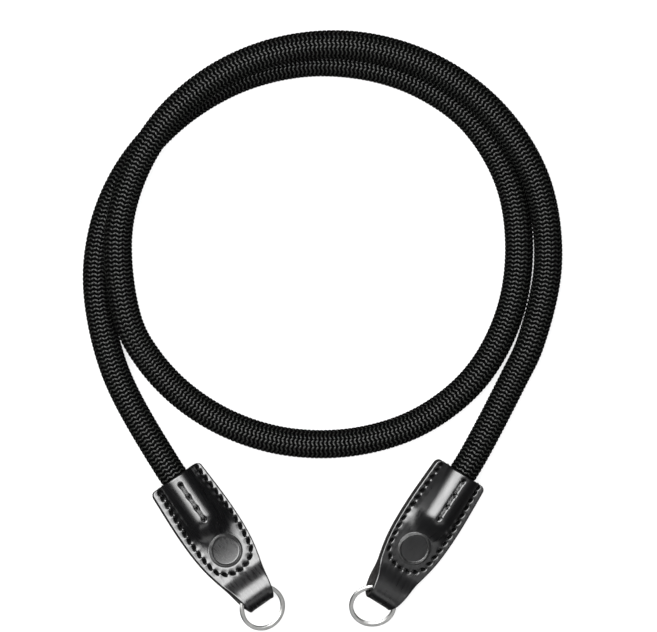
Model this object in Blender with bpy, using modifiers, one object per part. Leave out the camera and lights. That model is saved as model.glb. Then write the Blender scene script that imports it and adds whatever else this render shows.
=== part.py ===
"""Camera rope strap: one round rope in two turns, with a leather tab and a split ring at each end.

Metres, +Z up. The strap lies on a surface at Z = 0 as it does in a photograph taken from above,
with +Y towards the top of the picture. The origin is under the middle of the two tabs.
Each tab is drawn in a frame of its own: X across, -Y from its mouth towards its ring, Z out of its
front, with the rope's centre line on Y.
"""

import math

import bmesh
import bpy
from mathutils import Matrix, Vector

# Rope
ROPE_DIAMETER = 0.0105
ROPE_POINTS = 78
ROPE_END_DEPTH = 0.0185
ROPE_STRAIGHT_INSIDE = 0.0070
ROPE_STRAIGHT_OUTSIDE = 0.0060
STEPS_BETWEEN_POINTS = 12

# Fits: between pieces that touch, and under what lies on the surface
CLEARANCE = 0.0003
REST_GAP = 0.00005

# Leather tab: one strip, folded round the ring at its lower end
LEATHER = 0.0017
TAB_LENGTH = 0.0561
TAB_HALF_WIDTH = 0.01135
CORNER_RADIUS = 0.0018
SEAM_DROP = 0.0014
FOOT_RADIUS = 0.0020
BULGE_RUN_OUT = 0.0077
BADGE_RISE_SHARE = 0.12
LOOP_LENGTH = 0.0143
LOOP_TAPER = 0.0060
LOOP_HALF_HEIGHT = 0.0031
COLUMNS = 18
BEND_STEPS = 8

# Round badge on the front: a low raised rim
BADGE_PLACE = 0.0322
BADGE_RADIUS = 0.0061
BADGE_RIM = 0.0010
BADGE_SEGMENTS = 32
RIM_SEGMENTS = 6

# Outline of the strip: places as shares of TAB_LENGTH, half widths as shares of TAB_HALF_WIDTH
TAB_OUTLINE = (
    # place, half width
    (0.00, 0.930),
    (0.16, 0.972),
    (0.32, 1.000),
    (0.48, 0.985),
    (0.61, 0.920),
    (0.75, 0.768),
    (0.84, 0.645),
    (0.91, 0.560),
    (0.95, 0.520),
    (1.00, 0.450),
)

# Split ring: a flat wire wound in two turns
RING_DIAMETER = 0.0170
RING_WIRE_WIDTH = 0.00140
RING_WIRE_THICKNESS = 0.00080
RING_TURN_GAP = 0.00010
RING_TURNS_DEG = 680
RING_STEP_DEG = 40
RING_POINTS = 68
RING_PAST_HINGE = 0.00276
STEEPEST_DROOP = 80
DROOP_HALVINGS = 40

# Where each tab lies: its mouth, its heading (turn about Z) and its roll (turn about its own length),
# and where its ring hangs: how far past the middle of the fold's bend, and how far across
LEFT_TAB = {"mouth": (-0.05180, 0.02450), "heading": 34.6, "roll": 9.5, "ring_out": 0.0002, "ring_across": -0.0003}
RIGHT_TAB = {"mouth": (0.05218, 0.02589), "heading": -32.7, "roll": 17.0, "ring_out": 0.0013, "ring_across": -0.0003}

# The rope's free route from the left tab to the right one: clockwise, the first turn on the surface,
# the second beside it, over it at the upper left and down again at the right
ROPE_ROUTE = (
    (-0.0735, 0.0628, 0.0054),
    (-0.0800, 0.0924, 0.0054),
    (-0.0784, 0.1124, 0.0054),
    (-0.0724, 0.1294, 0.0054),
    (-0.0624, 0.1444, 0.0054),
    (-0.0470, 0.1587, 0.0054),
    (-0.0266, 0.1697, 0.0054),
    (-0.0033, 0.1747, 0.0054),
    (0.0204, 0.1728, 0.0054),
    (0.0397, 0.1657, 0.0054),
    (0.0565, 0.1530, 0.0054),
    (0.0692, 0.1315, 0.0054),
    (0.0729, 0.1068, 0.0054),
    (0.0689, 0.0822, 0.0054),
    (0.0568, 0.0604, 0.0054),
    (0.0372, 0.0449, 0.0054),
    (0.0137, 0.0374, 0.0054),
    (-0.0108, 0.0373, 0.0054),
    (-0.0321, 0.0436, 0.0054),
    (-0.0492, 0.0543, 0.0055),
    (-0.0615, 0.0675, 0.0068),
    (-0.0687, 0.0813, 0.0103),
    (-0.0721, 0.1119, 0.0144),
    (-0.0660, 0.1354, 0.0160),
    (-0.0528, 0.1557, 0.0163),
    (-0.0328, 0.1712, 0.0157),
    (-0.0088, 0.1796, 0.0149),
    (0.0170, 0.1801, 0.0143),
    (0.0422, 0.1720, 0.0140),
    (0.0639, 0.1556, 0.0134),
    (0.0788, 0.1319, 0.0114),
    (0.0832, 0.1025, 0.0094),
    (0.0769, 0.0733, 0.0088),
    (0.0706, 0.0597, 0.0071),
)

CAVITY_RADIUS = ROPE_DIAMETER / 2 + CLEARANCE
SEAM_END = TAB_LENGTH - LOOP_LENGTH
BEND_CENTRE = TAB_LENGTH - LEATHER - LOOP_HALF_HEIGHT
RING_MIDDLE_RADIUS = (RING_DIAMETER - RING_WIRE_WIDTH) / 2
RING_HINGE_TO_CENTRE = RING_DIAMETER / 2 - RING_PAST_HINGE
RING_TURN_OFFSET = (RING_WIRE_THICKNESS + RING_TURN_GAP) / 2


def clear_scene():
    for old in list(bpy.data.objects):
        bpy.data.objects.remove(old, do_unlink=True)


def new_collection(name):
    group = bpy.data.collections.new(name)
    bpy.context.scene.collection.children.link(group)
    return group


def add_object(name, data, group):
    made = bpy.data.objects.new(name, data)
    group.objects.link(made)
    return made


def principled(name, colour, roughness, metallic):
    material = bpy.data.materials.new(name)
    material.use_nodes = True
    shader = material.node_tree.nodes["Principled BSDF"]
    shader.inputs["Base Color"].default_value = (*colour, 1.0)
    shader.inputs["Roughness"].default_value = roughness
    shader.inputs["Metallic"].default_value = metallic
    return material


def smoothstep(value, start, end):
    share = min(max((value - start) / (end - start), 0.0), 1.0)
    return share * share * (3.0 - 2.0 * share)


def table_value(table, place):
    """Read a two-column table at a place, on a smooth curve through its rows."""
    last = len(table) - 2
    row = 0
    while row < last and place > table[row + 1][0]:
        row += 1
    before = table[max(row - 1, 0)]
    low, high = table[row], table[row + 1]
    after = table[min(row + 2, last + 1)]
    span = high[0] - low[0]
    share = min(max((place - low[0]) / span, 0.0), 1.0)
    slope_low = (high[1] - before[1]) / (high[0] - before[0]) * span
    slope_high = (after[1] - low[1]) / (after[0] - low[0]) * span
    value = low[1] * (1 + 2 * share) * (1 - share) ** 2 + slope_low * share * (1 - share) ** 2
    value += high[1] * (3 - 2 * share) * share ** 2 - slope_high * share ** 2 * (1 - share)
    return value


def half_width(along):
    """Half the strip's width at a distance from its mouth, with its mouth's corners rounded."""
    width = TAB_HALF_WIDTH * table_value(TAB_OUTLINE, along / TAB_LENGTH)
    if along < CORNER_RADIUS:
        width -= CORNER_RADIUS - math.sqrt(CORNER_RADIUS ** 2 - (CORNER_RADIUS - along) ** 2)
    return width


def formed_section(share, width, centre_height):
    """A point of a wall pressed over the rope: its place across and its height above the flange.

    The wall runs flat, up a small foot, over the rope's round and down again. centre_height is the
    rope's centre above the flange, and share runs from -1 to 1 by length along the wall.
    """
    foot_across = math.sqrt((CAVITY_RADIUS + FOOT_RADIUS) ** 2 - (FOOT_RADIUS - centre_height) ** 2)
    round_angle = math.atan2(foot_across, FOOT_RADIUS - centre_height)
    flat_length = width - foot_across
    foot_length = FOOT_RADIUS * (math.pi - round_angle)
    round_length = CAVITY_RADIUS * round_angle
    walked = abs(share) * (round_length + foot_length + flat_length)
    if walked < round_length:
        angle = walked / CAVITY_RADIUS
        across = CAVITY_RADIUS * math.sin(angle)
        height = centre_height + CAVITY_RADIUS * math.cos(angle)
    elif walked < round_length + foot_length:
        angle = round_angle + (walked - round_length) / FOOT_RADIUS
        across = foot_across - FOOT_RADIUS * math.sin(angle)
        height = FOOT_RADIUS - FOOT_RADIUS * math.cos(math.pi - angle)
    else:
        across = foot_across + walked - round_length - foot_length
        height = 0.0
    return math.copysign(across, share), height


def strip_rows():
    """Rows along the strip from its front mouth round the fold: distance from the mouth, bend angle."""
    bulge_end = ROPE_END_DEPTH + CLEARANCE
    spans = (
        (0.0, CORNER_RADIUS, 3),
        (CORNER_RADIUS, bulge_end, 3),
        (bulge_end, bulge_end + BULGE_RUN_OUT, 6),
        (bulge_end + BULGE_RUN_OUT, SEAM_END, 4),
        (SEAM_END, SEAM_END + LOOP_TAPER, 5),
        (SEAM_END + LOOP_TAPER, BEND_CENTRE, 1),
    )
    front = []
    for start, end, count in spans:
        front += [start + (end - start) * step / count for step in range(count)]
    rows = [(along, 0.0) for along in front]
    rows += [(BEND_CENTRE, math.pi * step / BEND_STEPS) for step in range(BEND_STEPS + 1)]
    rows += [(along, math.pi) for along in reversed(front)]
    return rows


def strip_point(share, along, bend):
    """A point on the cavity's side of the strip, in the tab's frame."""
    inner_half = CLEARANCE / 2
    loop = smoothstep(along, SEAM_END, SEAM_END + LOOP_TAPER)
    half_gap = inner_half + (LOOP_HALF_HEIGHT - inner_half) * loop
    if 0.0 < bend < math.pi:
        place = BEND_CENTRE + LOOP_HALF_HEIGHT * math.sin(bend)
        height = -SEAM_DROP + LOOP_HALF_HEIGHT * math.cos(bend)
        return Vector((share * half_width(place + LEATHER * math.sin(bend)), -place, height))
    side = 1.0 if bend == 0.0 else -1.0
    width = half_width(along)
    run_out = ROPE_END_DEPTH + CLEARANCE
    pressed = 1.0 - (1.0 - BADGE_RISE_SHARE) * smoothstep(along, run_out, run_out + BULGE_RUN_OUT)
    pressed -= BADGE_RISE_SHARE * smoothstep(along, run_out + BULGE_RUN_OUT, SEAM_END)
    across, rise = formed_section(share, width, side * SEAM_DROP - inner_half)
    across = across * pressed + share * width * (1.0 - pressed)
    return Vector((across, -along, -SEAM_DROP + side * (half_gap + rise * pressed)))


def tab_height(tab):
    """Height of a tab's rope line: it rests on its round or on the lower corner of its fold."""
    roll = math.radians(tab["roll"])
    round_drop = CAVITY_RADIUS + LEATHER
    fold_drop = (SEAM_DROP + LOOP_HALF_HEIGHT + LEATHER) * math.cos(roll)
    fold_drop += half_width(SEAM_END + LOOP_TAPER) * math.sin(roll)
    return max(round_drop, fold_drop) + REST_GAP


def tab_frame(tab):
    place = Matrix.Translation((*tab["mouth"], tab_height(tab)))
    heading = Matrix.Rotation(math.radians(tab["heading"]), 4, "Z")
    roll = Matrix.Rotation(math.radians(tab["roll"]), 4, "Y")
    return place @ heading @ roll


def hinge_frame(tab):
    """The ring's hinge: X across the fold, at the middle of its hollow."""
    place = (tab["ring_across"], -BEND_CENTRE - tab["ring_out"], -SEAM_DROP)
    return tab_frame(tab) @ Matrix.Translation(place)


def ring_frame(tab):
    """The hinge's frame, turned about X until the ring that hangs in it meets the surface."""
    hinge = hinge_frame(tab)
    half_height = RING_TURN_OFFSET + RING_WIRE_THICKNESS / 2
    low, high = 0.0, math.radians(STEEPEST_DROOP)
    for _ in range(DROOP_HALVINGS):
        droop = (low + high) / 2
        frame = hinge @ Matrix.Rotation(droop, 4, "X")
        tilt = math.hypot(frame[2][0], frame[2][1])
        lowest = (frame @ Vector((0, -RING_HINGE_TO_CENTRE, 0))).z
        lowest -= RING_DIAMETER / 2 * tilt + half_height * abs(frame[2][2])
        if lowest > REST_GAP:
            low = droop
        else:
            high = droop
    return hinge @ Matrix.Rotation(low, 4, "X")


def make_tab(name, tab, leather, group, helpers):
    rows = strip_rows()
    mesh = bpy.data.meshes.new(name)
    bm = bmesh.new()
    bmesh.ops.create_grid(bm, x_segments=COLUMNS, y_segments=len(rows) - 1, size=1.0)
    for vertex in bm.verts:
        row = round((vertex.co.y + 1) / 2 * (len(rows) - 1))
        vertex.co = strip_point(vertex.co.x, *rows[row])
    bm.to_mesh(mesh)
    bm.free()
    mesh.materials.append(leather)
    mesh.shade_smooth()
    strip = add_object(name, mesh, group)
    strip.matrix_world = tab_frame(tab)
    wall = strip.modifiers.new("Wall", "SOLIDIFY")
    wall.thickness = LEATHER
    wall.offset = -1.0
    badge = strip.modifiers.new("Badge", "BOOLEAN")
    badge.operation = "UNION"
    badge.object = make_badge_rim(name + "_badge_rim", tab, helpers)
    return strip


def make_badge_rim(name, tab, helpers):
    """The badge's raised rim, half sunk in the leather."""
    bpy.ops.mesh.primitive_torus_add(
        major_radius=BADGE_RADIUS - BADGE_RIM / 2,
        minor_radius=BADGE_RIM / 2,
        major_segments=BADGE_SEGMENTS,
        minor_segments=RIM_SEGMENTS,
    )
    rim = bpy.context.object
    rim.name = name
    for old in list(rim.users_collection):
        old.objects.unlink(rim)
    helpers.objects.link(rim)
    rise_before = strip_point(0.0, BADGE_PLACE - BADGE_RADIUS, 0.0).z
    rise_after = strip_point(0.0, BADGE_PLACE + BADGE_RADIUS, 0.0).z
    slope = math.atan2(rise_before - rise_after, 2 * BADGE_RADIUS)
    middle = Vector((0.0, -BADGE_PLACE, (rise_before + rise_after) / 2 + LEATHER))
    rim.matrix_world = tab_frame(tab) @ Matrix.Translation(middle) @ Matrix.Rotation(slope, 4, "X")
    rim.hide_render = True
    rim.display_type = "WIRE"
    return rim


def make_ring(name, tab, steel, group):
    curve = bpy.data.curves.new(name, "CURVE")
    curve.dimensions = "3D"
    curve.twist_mode = "Z_UP"
    curve.bevel_depth = RING_WIRE_THICKNESS / 2
    curve.bevel_resolution = 1
    curve.extrude = (RING_WIRE_WIDTH - RING_WIRE_THICKNESS) / 2
    curve.use_fill_caps = True
    wire = curve.splines.new("POLY")
    wire.points.add(RING_POINTS - 1)
    step_start = (RING_TURNS_DEG - RING_STEP_DEG) / 2
    for index, point in enumerate(wire.points):
        turned = RING_TURNS_DEG * index / (RING_POINTS - 1)
        angle = math.radians(90 + RING_STEP_DEG / 2 + turned)
        height = RING_TURN_OFFSET * (2 * smoothstep(turned, step_start, step_start + RING_STEP_DEG) - 1)
        across = RING_MIDDLE_RADIUS * math.cos(angle)
        along = RING_MIDDLE_RADIUS * math.sin(angle) - RING_HINGE_TO_CENTRE
        point.co = (across, along, height, 1.0)
        point.tilt = math.pi / 2
    curve.materials.append(steel)
    ring = add_object(name, curve, group)
    ring.matrix_world = ring_frame(tab)
    return ring


def seat_points(tab):
    """The rope's straight end in a tab, from its cut end to just outside the mouth."""
    depths = (ROPE_END_DEPTH, ROPE_STRAIGHT_INSIDE, -ROPE_STRAIGHT_OUTSIDE)
    return [tab_frame(tab) @ Vector((0.0, -depth, 0.0)) for depth in depths]


def smooth_route(points, steps):
    """Points on a smooth curve through a route (a centripetal Catmull-Rom curve)."""
    ends = [2 * points[0] - points[1]] + points + [2 * points[-1] - points[-2]]
    made = []
    for p0, p1, p2, p3 in zip(ends, ends[1:], ends[2:], ends[3:]):
        t1 = (p1 - p0).length ** 0.5
        t2 = t1 + (p2 - p1).length ** 0.5
        t3 = t2 + (p3 - p2).length ** 0.5
        for step in range(steps):
            t = t1 + (t2 - t1) * step / steps
            a1 = p0.lerp(p1, t / t1)
            a2 = p1.lerp(p2, (t - t1) / (t2 - t1))
            a3 = p2.lerp(p3, (t - t2) / (t3 - t2))
            b1 = a1.lerp(a2, t / t2)
            b2 = a2.lerp(a3, (t - t1) / (t3 - t1))
            made.append(b1.lerp(b2, (t - t1) / (t2 - t1)))
    made.append(points[-1])
    return made


def evenly_spaced(points, count):
    lengths = [0.0]
    for before, after in zip(points, points[1:]):
        lengths.append(lengths[-1] + (after - before).length)
    made = []
    at = 0
    for index in range(count):
        wanted = lengths[-1] * index / (count - 1)
        while at < len(points) - 2 and lengths[at + 1] < wanted:
            at += 1
        share = (wanted - lengths[at]) / (lengths[at + 1] - lengths[at])
        made.append(points[at].lerp(points[at + 1], min(share, 1.0)))
    return made


def make_rope(fabric, group):
    free = [Vector(point) for point in ROPE_ROUTE]
    route = seat_points(LEFT_TAB) + free + list(reversed(seat_points(RIGHT_TAB)))
    path = evenly_spaced(smooth_route(route, STEPS_BETWEEN_POINTS), ROPE_POINTS)
    curve = bpy.data.curves.new("rope", "CURVE")
    curve.dimensions = "3D"
    curve.bevel_depth = ROPE_DIAMETER / 2
    curve.bevel_resolution = 4
    curve.use_fill_caps = True
    line = curve.splines.new("POLY")
    line.points.add(len(path) - 1)
    for point, place in zip(line.points, path):
        point.co = (*place, 1.0)
    curve.materials.append(fabric)
    return add_object("rope", curve, group)


clear_scene()
strap = new_collection("camera rope strap")
helpers = new_collection("helpers")
black_braid = principled("black braid", (0.030, 0.031, 0.033), 0.75, 0.0)
black_leather = principled("black leather", (0.018, 0.018, 0.020), 0.28, 0.0)
satin_steel = principled("satin steel", (0.62, 0.62, 0.60), 0.30, 1.0)
make_rope(black_braid, strap)
make_tab("left_tab", LEFT_TAB, black_leather, strap, helpers)
make_tab("right_tab", RIGHT_TAB, black_leather, strap, helpers)
make_ring("left_ring", LEFT_TAB, satin_steel, strap)
make_ring("right_ring", RIGHT_TAB, satin_steel, strap)
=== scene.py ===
import math

import bpy
from mathutils import Matrix, Vector


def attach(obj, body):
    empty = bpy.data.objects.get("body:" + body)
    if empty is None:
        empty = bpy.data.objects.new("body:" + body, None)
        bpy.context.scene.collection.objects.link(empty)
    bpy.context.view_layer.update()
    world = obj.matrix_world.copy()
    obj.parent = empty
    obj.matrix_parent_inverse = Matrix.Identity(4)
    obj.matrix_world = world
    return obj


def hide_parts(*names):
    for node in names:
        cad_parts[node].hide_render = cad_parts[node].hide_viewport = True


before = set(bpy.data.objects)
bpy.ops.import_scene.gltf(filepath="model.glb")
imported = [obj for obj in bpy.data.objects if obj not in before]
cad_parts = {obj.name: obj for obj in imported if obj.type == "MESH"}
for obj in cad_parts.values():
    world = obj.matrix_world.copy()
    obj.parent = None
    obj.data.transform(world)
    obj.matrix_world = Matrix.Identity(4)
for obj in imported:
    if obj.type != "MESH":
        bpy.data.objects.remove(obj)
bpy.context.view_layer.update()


# Camera, light and floor. The strap lies on a plain pale table, lit a little from below, and is looked at
# straight down from two metres above. A broad soft light hangs over it, in six screens that overlap and
# so fade it out at its sides. Two weak lights stand in front of it and to the right, for the rings.
VIEW_CENTRE = (0.0038, 0.0829)
VIEW_WIDTH = 0.2378
VIEW_LEVEL = 0.008
LENS_MM = 300
FILM_MM = 36
SCREEN_HEIGHT = 1.05
SCREEN_STEP = 0.01
SCREENS = (
    # left, right, near, far, watts a square metre
    (-1.52, 0.36, -0.06, 0.82, 9.6),
    (-1.16, 0.36, -0.21, 0.76, 9.6),
    (-0.89, 0.00, -0.38, 0.69, 9.6),
    (-0.68, 0.00, -0.53, 0.63, 9.6),
    (0.00, 0.84, 0.06, 0.63, 10.0),
    (0.10, 0.70, 0.11, 0.58, 9.0),
)
FRONT_LIGHT_PLACE = (0.35, -1.20, 0.75)
FRONT_LIGHT_SIZE = (1.2, 0.6)
FRONT_LIGHT_POWER = 2.5
SIDE_LIGHT_PLACE = (0.90, -0.55, 1.07)
SIDE_LIGHT_SIZE = (0.8, 0.6)
SIDE_LIGHT_POWER = 1.2
FLOOR_GREY = 0.22
FLOOR_GLOW = 0.75
FLOOR_SIZE = 8.0
ROOM_GREY = 0.04
BACKGROUND_GREY = 0.86


def deselect_all():
    """Leaves no object selected, so that the next step takes only what it is given."""
    bpy.ops.object.select_all(action="DESELECT")


deselect_all()
bpy.ops.object.camera_add(
    location=(*VIEW_CENTRE, VIEW_LEVEL + VIEW_WIDTH * LENS_MM / FILM_MM),
    rotation=(0.0, 0.0, 0.0),
)
camera = bpy.context.object
camera.name = "camera"
camera.data.lens = LENS_MM
camera.data.sensor_width = FILM_MM
camera.data.clip_start = 0.05
camera.data.clip_end = 50.0
bpy.context.scene.camera = camera


def soft_box(name, place, aimed_from, size, power):
    """A soft rectangular light at a place, turned as if it shone from a direction."""
    bpy.ops.object.light_add(type="AREA", location=place)
    light = bpy.context.object
    light.name = name
    light.rotation_euler = Vector(aimed_from).to_track_quat("Z", "Y").to_euler()
    light.data.shape = "RECTANGLE"
    light.data.size = size[0]
    light.data.size_y = size[1]
    light.data.energy = power
    light.visible_camera = False


def grey(level):
    """A neutral colour."""
    return (level, level, level)


for screen, (left, right, near, far, strength) in enumerate(SCREENS):
    place = ((left + right) / 2, (near + far) / 2, SCREEN_HEIGHT + SCREEN_STEP * screen)
    size = (right - left, far - near)
    soft_box(f"soft_light_{screen + 1}", place, (0, 0, 1), size, strength * size[0] * size[1])
soft_box("front_light", FRONT_LIGHT_PLACE, FRONT_LIGHT_PLACE, FRONT_LIGHT_SIZE, FRONT_LIGHT_POWER)
soft_box("side_light", SIDE_LIGHT_PLACE, SIDE_LIGHT_PLACE, SIDE_LIGHT_SIZE, SIDE_LIGHT_POWER)

deselect_all()
bpy.ops.mesh.primitive_plane_add(size=FLOOR_SIZE, location=(0.0, 0.0, 0.0))
floor = bpy.context.object
floor.name = "floor"
table_paint = bpy.data.materials.new("pale table")
table_paint.use_nodes = True
table_shader = table_paint.node_tree.nodes["Principled BSDF"]
table_shader.inputs["Base Color"].default_value = (*grey(FLOOR_GREY), 1.0)
table_shader.inputs["Roughness"].default_value = 0.9
table_shader.inputs["Specular IOR Level"].default_value = 0.0
table_shader.inputs["Emission Color"].default_value = (*grey(1.0), 1.0)
table_shader.inputs["Emission Strength"].default_value = FLOOR_GLOW
floor.data.materials.append(table_paint)
floor.visible_glossy = False

room = bpy.data.worlds.new("room")
bpy.context.scene.world = room
room.use_nodes = True
room_nodes = room.node_tree.nodes
room_links = room.node_tree.links
room_dim = room_nodes["Background"]
room_dim.inputs["Color"].default_value = (*grey(ROOM_GREY), 1.0)
room_pale = room_nodes.new("ShaderNodeBackground")
room_pale.inputs["Color"].default_value = (*grey(BACKGROUND_GREY), 1.0)
room_seen = room_nodes.new("ShaderNodeLightPath")
room_mix = room_nodes.new("ShaderNodeMixShader")
room_links.new(room_seen.outputs["Is Camera Ray"], room_mix.inputs["Fac"])
room_links.new(room_dim.outputs["Background"], room_mix.inputs[1])
room_links.new(room_pale.outputs["Background"], room_mix.inputs[2])
room_links.new(room_mix.outputs["Shader"], room_nodes["World Output"].inputs["Surface"])
bpy.context.scene.view_settings.view_transform = "Standard"
bpy.context.scene.view_settings.look = "None"
bpy.context.scene.view_settings.exposure = 0.0


# Rope. A round rope of glossy black yarn braided tightly over a soft core, 10.5 mm thick. It lies in two
# turns, and each end is pushed 18.5 mm into the mouth of a leather tab and sewn in.
# The core is one curve along the rope. The braid is modelled as one row of yarns, repeated along it.
ROPE_DIAMETER = 0.0105
ROPE_END_DEPTH = 0.0185
ROPE_STRAIGHT_INSIDE = 0.0070
ROPE_STRAIGHT_OUTSIDE = 0.0060
STEPS_BETWEEN_POINTS = 12
ROPE_ROUTE = (
    # across, away from the tabs, up
    (-0.0735, 0.0628, 0.0054),
    (-0.0800, 0.0924, 0.0054),
    (-0.0784, 0.1124, 0.0054),
    (-0.0724, 0.1294, 0.0054),
    (-0.0624, 0.1444, 0.0054),
    (-0.0470, 0.1587, 0.0054),
    (-0.0266, 0.1697, 0.0054),
    (-0.0033, 0.1747, 0.0054),
    (0.0204, 0.1728, 0.0054),
    (0.0397, 0.1657, 0.0054),
    (0.0565, 0.1530, 0.0054),
    (0.0692, 0.1315, 0.0054),
    (0.0729, 0.1068, 0.0054),
    (0.0689, 0.0822, 0.0054),
    (0.0568, 0.0604, 0.0054),
    (0.0372, 0.0449, 0.0054),
    (0.0137, 0.0374, 0.0054),
    (-0.0108, 0.0373, 0.0054),
    (-0.0321, 0.0436, 0.0054),
    (-0.0492, 0.0543, 0.0055),
    (-0.0615, 0.0675, 0.0068),
    (-0.0687, 0.0813, 0.0103),
    (-0.0721, 0.1119, 0.0144),
    (-0.0660, 0.1354, 0.0160),
    (-0.0528, 0.1557, 0.0163),
    (-0.0328, 0.1712, 0.0157),
    (-0.0088, 0.1796, 0.0149),
    (0.0170, 0.1801, 0.0143),
    (0.0422, 0.1720, 0.0140),
    (0.0639, 0.1556, 0.0134),
    (0.0788, 0.1319, 0.0114),
    (0.0832, 0.1025, 0.0094),
    (0.0769, 0.0733, 0.0088),
    (0.0706, 0.0597, 0.0071),
)
CORE_RADIUS = 0.0050
BRAID_COLUMNS = 22
BRAID_ROWS = 568
BRAID_LENGTHS = 4
BRAID_START = 0.0125
YARN_LENGTH = 0.00250
YARN_WIDTH = 0.00132
YARN_HEIGHT = 0.00100
YARN_LEAN_DEG = 34.0
BRAID_TWIST_TURNS = 0.35
YARN_SIDES = 6
YARN_RINGS = 5
YARN_STRANDS = 8
YARN_STRAND_TURNS = 2


def tab_place(mouth, height, heading_deg, roll_deg):
    """Frame of a leather tab: X across, -Y from its mouth to its ring, Z out of its front."""
    heading = Matrix.Rotation(math.radians(heading_deg), 4, "Z")
    roll = Matrix.Rotation(math.radians(roll_deg), 4, "Y")
    return Matrix.Translation((*mouth, height)) @ heading @ roll


LEFT_TAB = tab_place((-0.05180, 0.02450), 0.007344, 34.6, 9.5)
RIGHT_TAB = tab_place((0.05218, 0.02589), 0.008068, -32.7, 17.0)


def rope_seat(tab):
    """The rope's straight end in a tab, from its cut end to just outside the mouth."""
    depths = (ROPE_END_DEPTH, ROPE_STRAIGHT_INSIDE, -ROPE_STRAIGHT_OUTSIDE)
    return [tab @ Vector((0.0, -depth, 0.0)) for depth in depths]


def smooth_route(points, steps):
    """Points on a smooth curve through a route (a centripetal Catmull-Rom curve)."""
    ends = [2 * points[0] - points[1]] + points + [2 * points[-1] - points[-2]]
    made = []
    for p0, p1, p2, p3 in zip(ends, ends[1:], ends[2:], ends[3:]):
        t1 = (p1 - p0).length ** 0.5
        t2 = t1 + (p2 - p1).length ** 0.5
        t3 = t2 + (p3 - p2).length ** 0.5
        for step in range(steps):
            t = t1 + (t2 - t1) * step / steps
            a1 = p0.lerp(p1, t / t1)
            a2 = p1.lerp(p2, (t - t1) / (t2 - t1))
            a3 = p2.lerp(p3, (t - t2) / (t3 - t2))
            b1 = a1.lerp(a2, t / t2)
            b2 = a2.lerp(a3, (t - t1) / (t3 - t1))
            made.append(b1.lerp(b2, (t - t1) / (t2 - t1)))
    made.append(points[-1])
    return made


def node_of(material, kind, **settings):
    """A new node in a material, with its settings."""
    node = material.node_tree.nodes.new(kind)
    for name, value in settings.items():
        setattr(node, name, value)
    return node


def new_finish(name, colour, roughness, metallic, specular):
    """A material with a plain shader, and the shader."""
    finish = bpy.data.materials.new(name)
    finish.use_nodes = True
    shader = finish.node_tree.nodes["Principled BSDF"]
    shader.inputs["Base Color"].default_value = (*colour, 1.0)
    shader.inputs["Roughness"].default_value = roughness
    shader.inputs["Metallic"].default_value = metallic
    shader.inputs["Specular IOR Level"].default_value = specular
    return finish, shader


def mottle(finish, vector, scale, detail, low, high):
    """Noise on a vector, spread over two colours; gives the colour output."""
    noise = node_of(finish, "ShaderNodeTexNoise")
    noise.inputs["Scale"].default_value = scale
    noise.inputs["Detail"].default_value = detail
    spread = node_of(finish, "ShaderNodeValToRGB")
    spread.color_ramp.elements[0].position = 0.3
    spread.color_ramp.elements[0].color = (*low, 1.0)
    spread.color_ramp.elements[1].position = 0.7
    spread.color_ramp.elements[1].color = (*high, 1.0)
    finish.node_tree.links.new(vector, noise.inputs["Vector"])
    finish.node_tree.links.new(noise.outputs["Fac"], spread.inputs["Fac"])
    return spread.outputs["Color"]


route = rope_seat(LEFT_TAB) + [Vector(p) for p in ROPE_ROUTE] + list(reversed(rope_seat(RIGHT_TAB)))
rope_points = smooth_route(route, STEPS_BETWEEN_POINTS)
rope_reach = sum((b - a).length for a, b in zip(rope_points, rope_points[1:]))

rope_line = bpy.data.curves.new("rope_core", "CURVE")
rope_line.dimensions = "3D"
rope_line.twist_mode = "Z_UP"
rope_line.bevel_depth = CORE_RADIUS
rope_line.bevel_resolution = 5
rope_line.use_fill_caps = True
rope_spline = rope_line.splines.new("POLY")
rope_spline.points.add(len(rope_points) - 1)
for index, (point, place) in enumerate(zip(rope_spline.points, rope_points)):
    point.co = (*place, 1.0)
    point.tilt = 2 * math.pi * BRAID_TWIST_TURNS * index / len(rope_points)
rope_core = bpy.data.objects.new("rope_core", rope_line)
bpy.context.scene.collection.objects.link(rope_core)


def braid_yarn(column, lean_deg):
    """One crossing yarn of the braid, on top of the rope, turned round it to its column."""
    bpy.ops.mesh.primitive_uv_sphere_add(
        segments=YARN_SIDES,
        ring_count=YARN_RINGS,
        radius=1.0,
        location=(0.0, 0.0, (ROPE_DIAMETER - YARN_HEIGHT) / 2),
        rotation=(math.radians(90), math.radians(-90), math.radians(lean_deg)),
    )
    yarn = bpy.context.object
    uv_layer = yarn.data.uv_layers[0]
    uv_layer.name = "yarn"
    for loop in yarn.data.loops:
        corner = yarn.data.vertices[loop.vertex_index].co
        uv_layer.data[loop.index].uv = (0.5 + corner.y / 2, 0.5 + corner.z / 2)
    yarn.scale = (YARN_HEIGHT / 2, YARN_WIDTH / 2, YARN_LENGTH / 2)
    bpy.ops.object.transform_apply(location=True, rotation=True, scale=True)
    yarn.rotation_euler = (2 * math.pi * column / BRAID_COLUMNS, 0.0, 0.0)
    bpy.ops.object.transform_apply(location=False, rotation=True, scale=False)
    return yarn


def join_as(parts, name):
    """Joins objects to one, with its name."""
    deselect_all()
    for part in parts:
        part.select_set(True)
    bpy.context.view_layer.objects.active = parts[0]
    bpy.ops.object.join()
    joined = bpy.context.object
    joined.name = name
    joined.data.name = name
    return joined


deselect_all()
yarns = []
for column in range(BRAID_COLUMNS):
    lean = YARN_LEAN_DEG if column % 2 == 0 else -YARN_LEAN_DEG
    yarns.append(braid_yarn(column, lean))
braid_row = join_as(yarns, "braid_row")
bpy.ops.object.shade_smooth()
row_pitch = (rope_reach - 2 * BRAID_START) / BRAID_ROWS

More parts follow.
